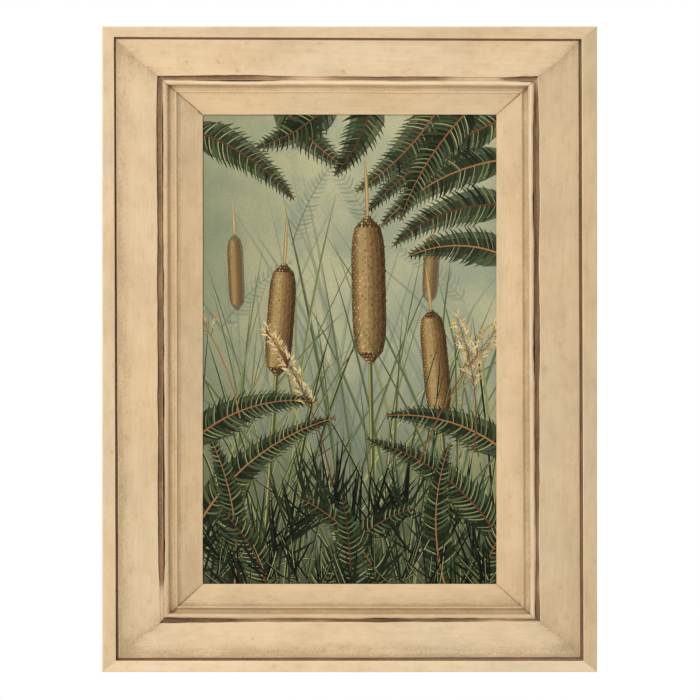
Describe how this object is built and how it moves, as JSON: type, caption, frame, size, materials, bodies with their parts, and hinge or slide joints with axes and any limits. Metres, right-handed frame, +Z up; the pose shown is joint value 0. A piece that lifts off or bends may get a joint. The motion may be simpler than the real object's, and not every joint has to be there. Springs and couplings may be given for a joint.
{
  "type": "framed wall picture",
  "caption": "Portrait wall picture: a stiff printed panel in a wide, built-up frame of pale washed wood with an outer strip, flat board and inner moulding, hung by a sawtooth hanger.",
  "frame": {"origin": "middle notch of the sawtooth hanger, where the wall's nail bears, in the plane of the frame's back", "axes": "+Z up along the picture's height, +X to the right as seen from the front, +Y from the front towards the wall"},
  "size_m": [0.428, 0.0303, 0.5584],
  "materials": {
    "strip_wood": "washed and glazed, satin",
    "board_wood": "washed and glazed, satin",
    "moulding_wood": "washed and glazed, satin",
    "print": "matt print with a canvas weave on fibreboard",
    "backing": "brown hardboard",
    "steel": "plain sheet steel",
    "brassed_steel": "brass-coloured sheet",
    "rubber": "matt"
  },
  "bodies": {
    "root": {"outer_strip_top": "strip_wood", "outer_strip_right": "strip_wood", "outer_strip_bottom": "strip_wood", "outer_strip_left": "strip_wood", "board_top": "board_wood", "board_right": "board_wood", "board_bottom": "board_wood", "board_left": "board_wood", "moulding_top": "moulding_wood", "moulding_right": "moulding_wood", "moulding_bottom": "moulding_wood", "moulding_left": "moulding_wood", "print_panel": "print", "backing_board": "backing", "retainer_point_1": "steel", "retainer_point_2": "steel", "retainer_point_3": "steel", "retainer_point_4": "steel", "retainer_point_5": "steel", "retainer_point_6": "steel", "retainer_point_7": "steel", "retainer_point_8": "steel", "retainer_point_9": "steel", "retainer_point_10": "steel", "corner_nail_board_1": "steel", "corner_nail_board_2": "steel", "corner_nail_board_3": "steel", "corner_nail_board_4": "steel", "corner_nail_moulding_1": "steel", "corner_nail_moulding_2": "steel", "corner_nail_moulding_3": "steel", "corner_nail_moulding_4": "steel", "hanger": "brassed_steel", "hanger_nail_left": "brassed_steel", "hanger_nail_right": "brassed_steel", "bumper_left": "rubber", "bumper_right": "rubber"}
  },
  "joints": []
}
